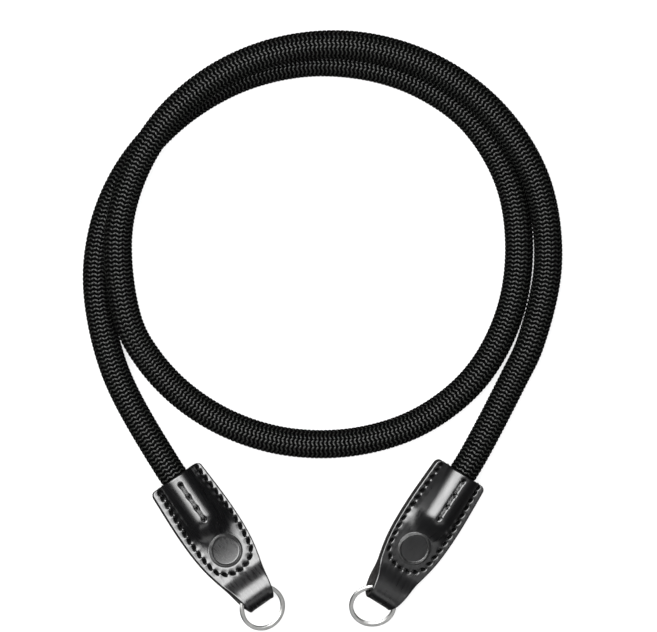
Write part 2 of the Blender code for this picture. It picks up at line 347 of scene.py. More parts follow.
black_yarn, yarn_shader = new_finish("black braided yarn", grey(0.004), 0.20, 0.0, 0.19)
yarn_place = node_of(black_yarn, "ShaderNodeTexCoord")
yarn_dull = mottle(black_yarn, yarn_place.outputs["Object"], 260.0, 2.0, grey(0.15), grey(0.26))
yarn_map = node_of(black_yarn, "ShaderNodeUVMap", uv_map="yarn")
yarn_split = node_of(black_yarn, "ShaderNodeSeparateXYZ")
links = black_yarn.node_tree.links
links.new(yarn_dull, yarn_shader.inputs["Roughness"])
links.new(yarn_map.outputs["UV"], yarn_split.inputs["Vector"])


def highlight_fade(axis, start, end):
    """Mask of the painted highlight on a yarn's crown: 1 in the middle of a yarn and 0 at its sides (X) or
    its ends (Y).
    """
    from_middle = node_of(black_yarn, "ShaderNodeMath", operation="SUBTRACT")
    from_middle.inputs[1].default_value = 0.5
    distance = node_of(black_yarn, "ShaderNodeMath", operation="ABSOLUTE")
    fade = node_of(black_yarn, "ShaderNodeMapRange", interpolation_type="SMOOTHSTEP")
    fade.inputs["From Min"].default_value = start
    fade.inputs["From Max"].default_value = end
    fade.inputs["To Min"].default_value = 1.0
    fade.inputs["To Max"].default_value = 0.0
    links.new(yarn_split.outputs[axis], from_middle.inputs[0])
    links.new(from_middle.outputs["Value"], distance.inputs[0])
    links.new(distance.outputs["Value"], fade.inputs["Value"])
    return fade.outputs["Result"]


# Painted highlight: each yarn's crown is painted lighter, as if lit from above, brighter and dimmer at
# random; its sides and ends stay near-black.
painted_highlight_mask = node_of(black_yarn, "ShaderNodeMath", operation="MULTIPLY")
links.new(highlight_fade("X", 0.08, 0.23), painted_highlight_mask.inputs[0])
links.new(highlight_fade("Y", 0.12, 0.36), painted_highlight_mask.inputs[1])
highlight_flecks = mottle(black_yarn, yarn_place.outputs["Object"], 700.0, 3.0, grey(0.45), grey(1.0))
painted_highlight = node_of(black_yarn, "ShaderNodeMath", operation="MULTIPLY")
links.new(painted_highlight_mask.outputs["Value"], painted_highlight.inputs[0])
links.new(highlight_flecks, painted_highlight.inputs[1])
yarn_colour_and_highlight = node_of(black_yarn, "ShaderNodeValToRGB")
yarn_colour_and_highlight.color_ramp.elements[0].color = (0.0004, 0.0004, 0.0005, 1.0)
yarn_colour_and_highlight.color_ramp.elements[1].color = (0.019, 0.020, 0.018, 1.0)
links.new(painted_highlight.outputs["Value"], yarn_colour_and_highlight.inputs["Fac"])
links.new(yarn_colour_and_highlight.outputs["Color"], yarn_shader.inputs["Base Color"])
yarn_around = node_of(black_yarn, "ShaderNodeMath", operation="MULTIPLY")
yarn_around.inputs[1].default_value = 2 * math.pi * YARN_STRANDS
yarn_along = node_of(black_yarn, "ShaderNodeMath", operation="MULTIPLY_ADD")
yarn_along.inputs[1].default_value = 2 * math.pi * YARN_STRAND_TURNS
yarn_wave = node_of(black_yarn, "ShaderNodeMath", operation="SINE")
yarn_bump = node_of(black_yarn, "ShaderNodeBump")
yarn_bump.inputs["Strength"].default_value = 0.22
yarn_bump.inputs["Distance"].default_value = 0.00003
links.new(yarn_split.outputs["X"], yarn_around.inputs[0])
links.new(yarn_split.outputs["Y"], yarn_along.inputs[0])
links.new(yarn_around.outputs["Value"], yarn_along.inputs[2])
links.new(yarn_along.outputs["Value"], yarn_wave.inputs[0])
links.new(yarn_wave.outputs["Value"], yarn_bump.inputs["Height"])
links.new(yarn_bump.outputs["Normal"], yarn_shader.inputs["Normal"])
braid_row.data.materials.append(black_yarn)

dark_core, core_shader = new_finish("dark core", grey(0.001), 0.9, 0.0, 0.0)
core_place = node_of(dark_core, "ShaderNodeTexCoord")
core_colour = mottle(dark_core, core_place.outputs["Object"], 600.0, 2.0, grey(0.0004), grey(0.0016))
dark_core.node_tree.links.new(core_colour, core_shader.inputs["Base Color"])
rope_line.materials.append(dark_core)


def finish_modifiers(piece):
    """Applies a piece's modifiers in their order."""
    deselect_all()
    piece.select_set(True)
    bpy.context.view_layer.objects.active = piece
    for modifier in list(piece.modifiers):
        bpy.ops.object.modifier_apply(modifier=modifier.name)


for length in range(BRAID_LENGTHS):
    braid = braid_row.copy()
    braid.data = braid_row.data.copy()
    braid.name = f"rope_braid_{length + 1}"
    bpy.context.scene.collection.objects.link(braid)
    start = BRAID_START + row_pitch * (0.5 + length * BRAID_ROWS / BRAID_LENGTHS)
    braid.data.transform(Matrix.Translation((start, 0.0, 0.0)))
    rows = braid.modifiers.new("rows", "ARRAY")
    rows.count = BRAID_ROWS // BRAID_LENGTHS
    rows.use_relative_offset = False
    rows.use_constant_offset = True
    rows.constant_offset_displace = (row_pitch, 0.0, 0.0)
    lay = braid.modifiers.new("lay along the rope", "CURVE")
    lay.object = rope_core
    lay.deform_axis = "POS_X"
    finish_modifiers(braid)
    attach(braid, "strap")
bpy.data.objects.remove(braid_row, do_unlink=True)

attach(rope_core, "strap")
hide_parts("rope")


# Leather tabs. Each is one strip of waxed black leather, 1.7 mm thick, folded in half round a split ring,
# pressed over the rope's end and sewn along its burnished edges. The front has needle holes, a pressed
# groove over the rope and a round pressed badge. The right tab's wax is a little more handled.
LEATHER = 0.0017
LEATHER_GAP = 0.0003
CAVITY_RADIUS = 0.00555
TAB_LENGTH = 0.0561
TAB_HALF_WIDTH = 0.01135
CORNER_RADIUS = 0.0018
SEAM_DROP = 0.0014
FOOT_RADIUS = 0.0020
BULGE_END = 0.0180
BULGE_RUN_OUT = 0.0210
BULGE_FALL = 6
SEAM_END = 0.0412
LOOP_TAPER = 0.0088
LOOP_HALF_HEIGHT = 0.0031
BEND_CENTRE = 0.0513
TAB_OUTLINE = (
    # place as a share of the length, half width as a share of the widest
    (0.00, 0.930),
    (0.16, 0.972),
    (0.32, 1.000),
    (0.48, 0.985),
    (0.61, 0.920),
    (0.75, 0.768),
    (0.84, 0.645),
    (0.91, 0.560),
    (0.95, 0.520),
    (1.00, 0.450),
)
BEND_STEPS = 24
MOUTH_ROWS = (0.0, 0.00006, 0.00015, 0.0003)
FRONT_ROWS = (
    # from, to, spacing
    (0.0005, 0.0252, 0.00027),
    (0.0252, 0.0392, 0.00020),
    (0.0392, 0.0478, 0.00030),
    (0.0478, BEND_CENTRE, 0.00050),
)
BACK_ROWS = (0.0005, BEND_CENTRE, 0.00080)
MIDDLE_COLUMNS = (0.0, 0.60, 0.020)
SIDE_COLUMNS = (0.60, 0.955, 0.0140)
EDGE_COLUMNS = (0.955, 0.972, 0.986, 0.995, 1.0)
EDGE_ROUND = 0.00050
STRIP_MAP_SCALE = 20
SETTLING_ROUNDS = 24
SETTLING_EDGE = 0.0020
SETTLING_BEND = (1.5, 2.5)
SETTLING_BACK = (0.030, SEAM_END)
SKIRT_SLOPE = 1.35
SKIRT_GAP = 0.00050
SKIRT_LOWEST = 0.00005
SKIRT_STEEPEST_SHARE = 0.999
NEEDLE_HOLE_REACH = 0.0016
NEEDLE_HOLE_DEPTH = 0.00095
NEEDLE_HOLE_SHADE_DEPTH = 0.00030
NEEDLE_HOLE_HALF = (0.00053, 0.00102)
NEEDLE_HOLE_LEAN = 0.36
SEAM_DIP = 0.00014
SEAM_DIP_HALF_WIDTH = 0.0006
SEAM_DIP_FADE = 0.0009
SEAM_DIP_REACH = 0.0030
GROOVE_HALF_WIDTH = 0.00085
GROOVE_WALL = (0.30 * GROOVE_HALF_WIDTH, 1.15 * GROOVE_HALF_WIDTH)
GROOVE_REACH = 2.4 * GROOVE_HALF_WIDTH
GROOVE_DEPTH = 0.00045
GROOVE_HOLE_DEPTH = 0.00085
GROOVE_HOLE_HALF = (0.00074, 0.00100)
BADGE_PLACE = 0.0322
BADGE_REACH = 0.0075
BADGE_RIM_RADIUS = 0.00555
BADGE_RIM_HALF = 0.00056
BADGE_RIM_SHOULDER = (0.25, 1.20)
BADGE_RIM_HEIGHT = 0.00036
BADGE_DENT = 0.00008
BADGE_DENT_WIDTH = 0.0003
FLANGE_LEVEL = LEATHER_GAP / 2 + LEATHER - SEAM_DROP
DISC_LEVEL = 0.00018
DISC_SLOPE = 0.130
DISC_HOLLOW = 5.7
DISC_BLEND = 0.0003
SEAM_HOLES = (
    # across, along
    (0.0000, 0.0408),
    (0.0030, 0.0404),
    (0.0057, 0.0391),
    (0.0077, 0.0369),
    (0.0085, 0.0340),
    (0.0089, 0.0310),
    (0.0092, 0.0280),
    (0.0093, 0.0249),
    (0.0094, 0.0219),
    (0.0093, 0.01885),
    (0.0092, 0.0158),
    (0.0090, 0.0128),
    (0.00885, 0.00975),
    (0.00865, 0.0067),
    (0.0085, 0.0037),
    (0.0084, 0.0014),
)
SEAM_HOLES_ROUND_BADGE = 4
TAB_CREASE_DEG = 50


def smoothstep(value, start, end):
    """0 up to the start, 1 from the end, and a soft rise between them."""
    share = min(max((value - start) / (end - start), 0.0), 1.0)
    return share * share * (3.0 - 2.0 * share)


def table_value(table, place):
    """Reads a two-column table at a place, on a smooth curve through its rows."""
    last = len(table) - 2
    row = 0
    while row < last and place > table[row + 1][0]:
        row += 1
    before = table[max(row - 1, 0)]
    low, high = table[row], table[row + 1]
    after = table[min(row + 2, last + 1)]
    span = high[0] - low[0]
    share = min(max((place - low[0]) / span, 0.0), 1.0)
    slope_low = (high[1] - before[1]) / (high[0] - before[0]) * span
    slope_high = (after[1] - low[1]) / (after[0] - low[0]) * span
    value = low[1] * (1 + 2 * share) * (1 - share) ** 2 + slope_low * share * (1 - share) ** 2
    value += high[1] * (3 - 2 * share) * share ** 2 - slope_high * share ** 2 * (1 - share)
    return value


def half_width(along):
    """Half the strip's width at a distance from its mouth, with its mouth's corners rounded."""
    width = TAB_HALF_WIDTH * table_value(TAB_OUTLINE, along / TAB_LENGTH)
    if along < CORNER_RADIUS:
        width -= CORNER_RADIUS - math.sqrt(CORNER_RADIUS ** 2 - (CORNER_RADIUS - along) ** 2)
    return width


def formed_section(share, width, centre_height):
    """A point of a wall pressed over the rope: its place across and its height above the flange."""
    foot_across = math.sqrt((CAVITY_RADIUS + FOOT_RADIUS) ** 2 - (FOOT_RADIUS - centre_height) ** 2)
    round_angle = math.atan2(foot_across, FOOT_RADIUS - centre_height)
    foot_length = FOOT_RADIUS * (math.pi - round_angle)
    round_length = CAVITY_RADIUS * round_angle
    walked = abs(share) * (round_length + foot_length + width - foot_across)
    if walked < round_length:
        angle = walked / CAVITY_RADIUS
        across = CAVITY_RADIUS * math.sin(angle)
        height = centre_height + CAVITY_RADIUS * math.cos(angle)
    elif walked < round_length + foot_length:
        angle = round_angle + (walked - round_length) / FOOT_RADIUS
        across = foot_across - FOOT_RADIUS * math.sin(angle)
        height = FOOT_RADIUS - FOOT_RADIUS * math.cos(math.pi - angle)
    else:
        across = foot_across + walked - round_length - foot_length
        height = 0.0
    return math.copysign(across, share), height


def pressed_share(along):
    """How far a wall is pressed over the rope: 1 from the mouth to the bulge's end, then down to 0."""
    falling = min(max((along - BULGE_END) / BULGE_RUN_OUT, 0.0), 1.0)
    return (1.0 - falling) ** BULGE_FALL * (1.0 + BULGE_FALL * falling)


def strip_point(share, along, bend):
    """A point on the inner side of the strip, in the tab's frame."""
    inner_half = LEATHER_GAP / 2
    loop = smoothstep(along, SEAM_END, SEAM_END + LOOP_TAPER)
    half_gap = inner_half + (LOOP_HALF_HEIGHT - inner_half) * loop
    if 0.0 < bend < math.pi:
        place = BEND_CENTRE + LOOP_HALF_HEIGHT * math.sin(bend)
        height = -SEAM_DROP + LOOP_HALF_HEIGHT * math.cos(bend)
        return Vector((share * half_width(place + LEATHER * math.sin(bend)), -place, height))
    side = 1.0 if bend == 0.0 else -1.0
    width = half_width(along)
    pressed = pressed_share(along)
    across, rise = formed_section(share, width, side * SEAM_DROP - inner_half)
    across = across * pressed + share * width * (1.0 - pressed)
    return Vector((across, -along, -SEAM_DROP + side * (half_gap + rise * pressed)))


def spread_evenly(start, end, spacing):
    """Places from start up to, but not with, end."""
    count = max(1, round((end - start) / spacing))
    return [start + (end - start) * step / count for step in range(count)]


def strip_rows():
    """Rows along the strip from its front mouth round the fold and back: distance, bend angle."""
    front = list(MOUTH_ROWS)
    for stretch in FRONT_ROWS:
        front += spread_evenly(*stretch)
    back = list(MOUTH_ROWS) + spread_evenly(*BACK_ROWS)
    rows = [(along, 0.0) for along in front]
    rows += [(BEND_CENTRE, math.pi * step / BEND_STEPS) for step in range(BEND_STEPS + 1)]
    rows += [(along, math.pi) for along in reversed(back)]
    return rows


def strip_columns():
    """Columns across the strip, as shares of its half width; closer at the seam, closest at the edges."""
    half = spread_evenly(*MIDDLE_COLUMNS) + spread_evenly(*SIDE_COLUMNS) + list(EDGE_COLUMNS)
    return [-share for share in reversed(half[1:])] + half


def pit(offset_across, offset_along, half_across, half_along, turn):
    """Depth share of an oval dent at an offset from its middle, the oval turned by an angle."""
    across = offset_across * math.cos(turn) + offset_along * math.sin(turn)
    along = -offset_across * math.sin(turn) + offset_along * math.cos(turn)
    reach = (across / half_across) ** 2 + (along / half_along) ** 2
    return math.exp(-reach * reach) if reach < 4.0 else 0.0


def seam_holes(shift):
    """The seam's holes from the right side of the mouth round the badge to the left side."""
    right = [(shift + across, along) for across, along in reversed(SEAM_HOLES)]
    left = [(shift - across, along) for across, along in SEAM_HOLES[1:]]
    return right + left


def front_relief(across, along, level, groove, holes):
    """Height of what is pressed into the front (groove, badge, seam line), and depth of needle holes."""
    height = 0.0
    hole_depth = 0.0
    groove_across, groove_holes = groove
    nearest = along - min(max(along, groove_holes[0]), groove_holes[-1])
    reach = math.hypot(across - groove_across, nearest)
    if reach < GROOVE_REACH:
        height -= GROOVE_DEPTH * (1.0 - smoothstep(reach, *GROOVE_WALL))
        for hole_along in groove_holes:
            hole = pit(across - groove_across, along - hole_along, *GROOVE_HOLE_HALF, 0.0)
            hole_depth += GROOVE_HOLE_DEPTH * hole
    badge = math.hypot(across, along - BADGE_PLACE)
    if badge < BADGE_REACH:
        from_rim = abs(badge - BADGE_RIM_RADIUS) / BADGE_RIM_HALF
        height += BADGE_RIM_HEIGHT * (1.0 - smoothstep(from_rim, *BADGE_RIM_SHOULDER))
        past = along - BADGE_PLACE
        disc = FLANGE_LEVEL + DISC_LEVEL - DISC_SLOPE * past + DISC_HOLLOW * past * past
        off_disc = smoothstep(badge, BADGE_RIM_RADIUS - DISC_BLEND, BADGE_RIM_RADIUS)
        height += (disc - level) * (1.0 - off_disc)
        past_rim = badge - BADGE_RIM_RADIUS - BADGE_RIM_HALF
        height -= BADGE_DENT * math.exp(-(past_rim / BADGE_DENT_WIDTH) ** 2)
    closest = 1.0
    for index, (hole_across, hole_along) in enumerate(holes):
        gap_across = across - hole_across
        gap_along = along - hole_along
        gap = math.hypot(gap_across, gap_along)
        closest = min(closest, gap)
        if gap < NEEDLE_HOLE_REACH:
            before = holes[max(index - 1, 0)]
            after = holes[min(index + 1, len(holes) - 1)]
            heading = math.atan2(after[0] - before[0], after[1] - before[1])
            hole = pit(gap_across, gap_along, *NEEDLE_HOLE_HALF, NEEDLE_HOLE_LEAN - heading)
            hole_depth += NEEDLE_HOLE_DEPTH * hole
    if closest < SEAM_DIP_REACH:
        height -= SEAM_DIP * math.exp(-(max(closest - SEAM_DIP_HALF_WIDTH, 0.0) / SEAM_DIP_FADE) ** 2)
    return height, hole_depth


def lay_skirts(outer, rows, columns, shift):
    """Lays each half's wall straight from the bulge over the rope to the flange, beside the seam."""
    seam = [(along, across) for across, along in reversed(SEAM_HOLES[SEAM_HOLES_ROUND_BADGE:])]
    middle = columns.index(0.0)
    for row, (along, bend) in enumerate(rows):
        if 0.0 < bend < math.pi or pressed_share(along) == 0.0:
            continue
        out = 1 if bend == 0.0 else -1
        level = out * (LEATHER_GAP / 2 + LEATHER) - SEAM_DROP
        for side in (-1, 1):
            places = [row * len(columns) + middle + side * step for step in range(middle + 1)]
            foot = table_value(seam, along) - SKIRT_GAP + side * shift
            last = max(step for step, place in enumerate(places) if side * outer[place].co.x < foot)
            slopes = []
            for place in places[:last]:
                rise = out * (outer[place].co.z - level) - SKIRT_LOWEST
                slopes.append(rise / (foot - side * outer[place].co.x))
            slope = min(max(slopes), SKIRT_SLOPE)
            if slope <= 0.0:
                continue
            first = max(step for step, found in enumerate(slopes) if found >= SKIRT_STEEPEST_SHARE * slope)
            top = side * outer[places[first]].co.x
            for step in range(first + 1, last + 1):
                across = top + (foot - top) * (step - first) / (last + 1 - first)
                outer[places[step]].co.x = side * across
                outer[places[step]].co.z = level + out * slope * (foot - across)


def strip_sheet(name, rows, columns):
    """The strip's inner side as a grid, and each vertex's share across, distance along and bend angle."""
    deselect_all()
    bpy.ops.mesh.primitive_grid_add(x_subdivisions=len(columns) - 1, y_subdivisions=len(rows) - 1, size=2)
    strip = bpy.context.object
    strip.name = name
    strip.data.name = name
    places = []
    for vertex in strip.data.vertices:
        column = round((vertex.co.x + 1) / 2 * (len(columns) - 1))
        row = round((vertex.co.y + 1) / 2 * (len(rows) - 1))
        places.append((columns[column], *rows[row]))
        vertex.co = strip_point(*places[-1])
    return strip, places


def map_flat(strip, places):
    """Maps the strip as it would lie flat."""
    unrolled = []
    for share, along, bend in places:
        walked = along if bend == 0.0 else 2 * BEND_CENTRE + LOOP_HALF_HEIGHT * math.pi - along
        if 0.0 < bend < math.pi:
            walked = BEND_CENTRE + LOOP_HALF_HEIGHT * bend
        unrolled.append((share * half_width(along) * STRIP_MAP_SCALE, walked * STRIP_MAP_SCALE))
    uv_layer = strip.data.uv_layers[0]
    uv_layer.name = "strip"
    for loop in strip.data.loops:
        uv_layer.data[loop.index].uv = unrolled[loop.vertex_index]


def settle_outside(strip, places):
    """Smooths the strip's outer side, less at its edges, at the fold and past the bulge on the back."""
    settled = strip.vertex_groups.new(name="settled leather")
    for index, (share, along, bend) in enumerate(places):
        edge = min((1.0 - abs(share)) * half_width(along), along)
        if 0.0 < bend < math.pi:
            edge = (1.0 - abs(share)) * half_width(BEND_CENTRE)
        held = smoothstep(along, *SETTLING_BACK) if bend == math.pi else smoothstep(bend, *SETTLING_BEND)
        if held < 1.0 and edge > EDGE_ROUND:
            free = smoothstep(edge, EDGE_ROUND, SETTLING_EDGE) * (1.0 - held)
            settled.add([index + len(places)], free, "REPLACE")
    settle = strip.modifiers.new("settle", "SMOOTH")
    settle.vertex_group = settled.name
    settle.factor = 0.5
    settle.iterations = SETTLING_ROUNDS
    finish_modifiers(strip)


def press_outside(strip, places, groove, holes):
    """Presses the relief into the front and rounds the outer edges; gives the needle holes' depths."""
    vertices = strip.data.vertices
    count = len(places)
    depths = [0.0] * len(vertices)
    for index, (share, along, bend) in enumerate(places):
        inner = vertices[index].co
        outer = vertices[index + count].co
        out = (outer - inner).normalized()
        height = 0.0
        if bend == 0.0:
            height, depths[index + count] = front_relief(outer.x, -outer.y, outer.z, groove, holes)
            height -= depths[index + count]
        edge = (1.0 - abs(share)) * half_width(along)
        if bend == 0.0 or bend == math.pi:
            edge = min(edge, along)
        if edge < EDGE_ROUND:
            height -= EDGE_ROUND - math.sqrt(EDGE_ROUND ** 2 - (EDGE_ROUND - edge) ** 2)
        vertices[index + count].co = outer + out * height
    return depths


def finish_faces(strip, count, depths, finishes):
    """Gives each face its finish: leather, cut edge and inner side, painted shade in the needle holes, or
    rubbed badge rim.
    """
    for face in strip.data.polygons:
        inside = [corner < count for corner in face.vertices]
        face.material_index = 1 if any(inside) else 0
        # Painted shade: faces deep in a needle hole get the near-black matte finish.
        if min(depths[corner] for corner in face.vertices) > NEEDLE_HOLE_SHADE_DEPTH:
            face.material_index = 2
        from_badge = math.hypot(face.center.x, face.center.y + BADGE_PLACE)
        if not any(inside) and face.center.z > 0.0 and abs(from_badge - BADGE_RIM_RADIUS) < BADGE_RIM_HALF:
            face.material_index = 3
    for finish in finishes:
        strip.data.materials.append(finish)


def make_tab(name, tab, groove, seam_shift, leather):
    """One tab: a folded strip with its thickness, pressed over the rope, then put in its place."""
    rows = strip_rows()
    columns = strip_columns()
    strip, places = strip_sheet(name, rows, columns)
    map_flat(strip, places)
    wall = strip.modifiers.new("leather", "SOLIDIFY")
    wall.thickness = LEATHER
    wall.offset = -1.0
    finish_modifiers(strip)
    count = len(places)
    lay_skirts(strip.data.vertices[count:2 * count], rows, columns, seam_shift)
    settle_outside(strip, places)
    depths = press_outside(strip, places, groove, seam_holes(seam_shift))
    finish_faces(strip, count, depths, (leather, leather_edge, needle_hole_shade, rubbed_leather))
    strip.data.transform(tab)
    deselect_all()
    strip.select_set(True)
    bpy.context.view_layer.objects.active = strip
    bpy.ops.object.shade_smooth_by_angle(angle=math.radians(TAB_CREASE_DEG))
    return strip


def waxed_leather(name, polish, coat_dull, dull_low, dull_high):
    """Black leather with a wax coat, brushed along the strip and finely grained."""
    finish, shader = new_finish(name, grey(0.0014), dull_low, 0.0, 0.5)
    shader.inputs["Coat Weight"].default_value = polish
    shader.inputs["Coat Roughness"].default_value = coat_dull
    shader.inputs["Coat IOR"].default_value = 1.5
    place = node_of(finish, "ShaderNodeTexCoord")
    strip_map = node_of(finish, "ShaderNodeUVMap", uv_map="strip")
    brush = node_of(finish, "ShaderNodeMapping")
    brush.inputs["Scale"].default_value = (60.0, 7.0, 1.0)
    colour = mottle(
        finish, place.outputs["Object"], 120.0, 4.0, (0.0007, 0.0007, 0.0009), (0.0022, 0.0022, 0.0025)
    )
    dull = mottle(finish, brush.outputs["Vector"], 1.0, 4.0, grey(dull_low), grey(dull_high))
    grain = node_of(finish, "ShaderNodeTexNoise")
    grain.inputs["Scale"].default_value = 1300.0
    grain.inputs["Detail"].default_value = 3.0
    bump = node_of(finish, "ShaderNodeBump")
    bump.inputs["Strength"].default_value = 0.22
    bump.inputs["Distance"].default_value = 0.00006
    joins = finish.node_tree.links
    joins.new(strip_map.outputs["UV"], brush.inputs["Vector"])
    joins.new(colour, shader.inputs["Base Color"])
    joins.new(dull, shader.inputs["Roughness"])
    joins.new(place.outputs["Object"], grain.inputs["Vector"])
    joins.new(grain.outputs["Fac"], bump.inputs["Height"])
    joins.new(bump.outputs["Normal"], shader.inputs["Normal"])
    return finish


glossy_leather = waxed_leather("glossy black leather", 0.6, 0.18, 0.22, 0.34)
handled_leather = waxed_leather("handled black leather", 0.55, 0.23, 0.26, 0.40)

leather_edge, edge_shader = new_finish("burnished leather edge", (0.008, 0.007, 0.007), 0.48, 0.0, 0.5)
edge_place = node_of(leather_edge, "ShaderNodeTexCoord")
edge_colour = mottle(
    leather_edge,
    edge_place.outputs["Object"],
    900.0,
    4.0,
    (0.004, 0.0036, 0.0034),
    (0.016, 0.0145, 0.0138),
)
edge_grain = node_of(leather_edge, "ShaderNodeTexNoise")
edge_grain.inputs["Scale"].default_value = 2200.0
edge_bump = node_of(leather_edge, "ShaderNodeBump")
edge_bump.inputs["Strength"].default_value = 0.6
edge_bump.inputs["Distance"].default_value = 0.00008
links = leather_edge.node_tree.links
links.new(edge_colour, edge_shader.inputs["Base Color"])
links.new(edge_place.outputs["Object"], edge_grain.inputs["Vector"])
links.new(edge_grain.outputs["Fac"], edge_bump.inputs["Height"])
links.new(edge_bump.outputs["Normal"], edge_shader.inputs["Normal"])

# Painted shade in the needle holes: their deep faces are painted near-black and matte, as the shade inside
# them.
needle_hole_shade, hole_shade_shader = new_finish("needle hole", grey(0.0006), 0.9, 0.0, 0.05)
hole_shade_place = node_of(needle_hole_shade, "ShaderNodeTexCoord")
hole_shade_colour = mottle(needle_hole_shade, hole_shade_place.outputs["Object"], 1200.0, 2.0, grey(0.0003), grey(0.0012))
needle_hole_shade.node_tree.links.new(hole_shade_colour, hole_shade_shader.inputs["Base Color"])

rubbed_leather, rubbed_shader = new_finish("rubbed leather", grey(0.010), 0.50, 0.0, 0.4)
rubbed_place = node_of(rubbed_leather, "ShaderNodeTexCoord").outputs["Object"]
rubbed_colour = mottle(rubbed_leather, rubbed_place, 800.0, 3.0, grey(0.004), grey(0.016))
rubbed_dull = mottle(rubbed_leather, rubbed_place, 500.0, 3.0, grey(0.42), grey(0.56))
links = rubbed_leather.node_tree.links
links.new(rubbed_colour, rubbed_shader.inputs["Base Color"])
links.new(rubbed_dull, rubbed_shader.inputs["Roughness"])

LEFT_GROOVE = (-0.00080, (0.0036, 0.0087, 0.0137, 0.0185))
RIGHT_GROOVE = (-0.00045, (0.0021, 0.0080, 0.0128, 0.0181))
LEFT_SEAM_SHIFT = 0.0004
RIGHT_SEAM_SHIFT = -0.0005
left_leather = make_tab("left_leather_tab", LEFT_TAB, LEFT_GROOVE, LEFT_SEAM_SHIFT, glossy_leather)
right_leather = make_tab("right_leather_tab", RIGHT_TAB, RIGHT_GROOVE, RIGHT_SEAM_SHIFT, handled_leather)
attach(left_leather, "strap")
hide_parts("left_tab")
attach(right_leather, "strap")
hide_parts("right_tab")


# Stitches. Waxed black thread, sewn through both halves of each tab: short stitches from hole to hole
# round its edges, and three long ones in the groove over the rope. One stitch is modelled and copied.
SEAM_THREAD = 0.00048
SEAM_THREAD_FLATNESS = 0.8
SEAM_FRONT_REACH = 0.62
SEAM_BACK_REACH = 0.90
GROOVE_THREAD = 0.00125
GROOVE_THREAD_FLATNESS = 0.55
GROOVE_STITCH_REACH = 0.84
STITCH_ARCH = 0.00055
SEAM_FRONT_SLANT = 0.42
SEAM_BACK_SLANT = -0.21
FRONT_LIFT = 0.12
BACK_SINK = 0.30
THREAD_STRANDS = 3
THREAD_STRAND_TURNS = 4
STITCH_SIDES = 8
STITCH_RINGS = 8
STITCH_PLUMPNESS = 0.45
STITCH_SEARCH_FROM = 0.03


def thread_finish(name, dark, light, specular):
    """Twisted thread, its strands winding round it on the stitch's own map."""
    finish, shader = new_finish(name, grey(dark), 0.62, 0.0, specular)
    place = node_of(finish, "ShaderNodeTexCoord")
    colour = mottle(finish, place.outputs["Object"], 1500.0, 2.0, grey(dark), grey(light))
    stitch_map = node_of(finish, "ShaderNodeUVMap", uv_map="thread")
    split = node_of(finish, "ShaderNodeSeparateXYZ")
    around = node_of(finish, "ShaderNodeMath", operation="MULTIPLY")
    around.inputs[1].default_value = 2 * math.pi * THREAD_STRANDS
    along = node_of(finish, "ShaderNodeMath", operation="MULTIPLY_ADD")
    along.inputs[1].default_value = 2 * math.pi * THREAD_STRAND_TURNS
    wave = node_of(finish, "ShaderNodeMath", operation="SINE")
    bump = node_of(finish, "ShaderNodeBump")
    bump.inputs["Strength"].default_value = 0.8
    bump.inputs["Distance"].default_value = 0.00010
    joins = finish.node_tree.links
    joins.new(colour, shader.inputs["Base Color"])
    joins.new(stitch_map.outputs["UV"], split.inputs["Vector"])
    joins.new(split.outputs["X"], around.inputs[0])
    joins.new(split.outputs["Y"], along.inputs[0])
    joins.new(around.outputs["Value"], along.inputs[2])
    joins.new(along.outputs["Value"], wave.inputs[0])
    joins.new(wave.outputs["Value"], bump.inputs["Height"])
    joins.new(bump.outputs["Normal"], shader.inputs["Normal"])
    return finish


# One black thread in two colours: painted darker in the seams as shade, and lighter in the groove as a
# painted highlight.
shaded_seam_thread = thread_finish("black seam thread painted shaded", 0.006, 0.024, 0.10)
lit_groove_thread = thread_finish("waxed black thread painted lit", 0.020, 0.085, 0.30)

deselect_all()
bpy.ops.mesh.primitive_uv_sphere_add(
    segments=STITCH_SIDES,
    ring_count=STITCH_RINGS,
    radius=1.0,
    rotation=(math.radians(90), 0.0, 0.0),
)
one_stitch = bpy.context.object
bpy.ops.object.transform_apply(location=False, rotation=True, scale=False)
for vertex in one_stitch.data.vertices:
    along = vertex.co.y
    fullness = math.sqrt(max(1.0 - along * along, 0.0))
    plump = fullness ** STITCH_PLUMPNESS / fullness if fullness > 0.001 else 1.0
    vertex.co.x *= plump
    vertex.co.z *= plump
bpy.ops.object.shade_smooth()
one_stitch.data.uv_layers[0].name = "thread"


def add_stitch(tab_mesh, tab, start, end, thread, finish, flat, reach, slant, side):
    """One stitch from a hole to the next, laid on the leather: an arch whose ends go down into it."""
    middle = Vector(((start[0] + end[0]) / 2, -(start[1] + end[1]) / 2, 0.0))
    inverse = tab.inverted()
    origin = tab @ Vector((middle.x, middle.y, STITCH_SEARCH_FROM * side))
    aim = (tab.to_3x3() @ Vector((0.0, 0.0, -side))).normalized()
    place, normal = tab_mesh.ray_cast(origin, aim)[1:3]
    place = inverse @ place
    up = (inverse.to_3x3() @ normal).normalized()
    forward = Vector((end[0] - start[0], -(end[1] - start[1]), 0.0))
    length = forward.length
    forward = (forward - up * forward.dot(up)).normalized()
    forward.rotate(Matrix.Rotation(slant, 3, up))
    turn = Matrix((forward.cross(up), forward, up)).transposed()
    stitch = one_stitch.copy()
    stitch.data = one_stitch.data.copy()
    stitch.data.materials.append(finish)
    bpy.context.scene.collection.objects.link(stitch)
    for vertex in stitch.data.vertices:
        across = vertex.co.x * thread / 2
        along = vertex.co.y * length / 2 * reach
        rise = vertex.co.z * thread / 2 * flat - STITCH_ARCH * vertex.co.y ** 4
        rise += thread * FRONT_LIFT if side > 0 else -thread * BACK_SINK
        vertex.co = tab @ (place + turn @ Vector((across, along, rise)))
    return stitch


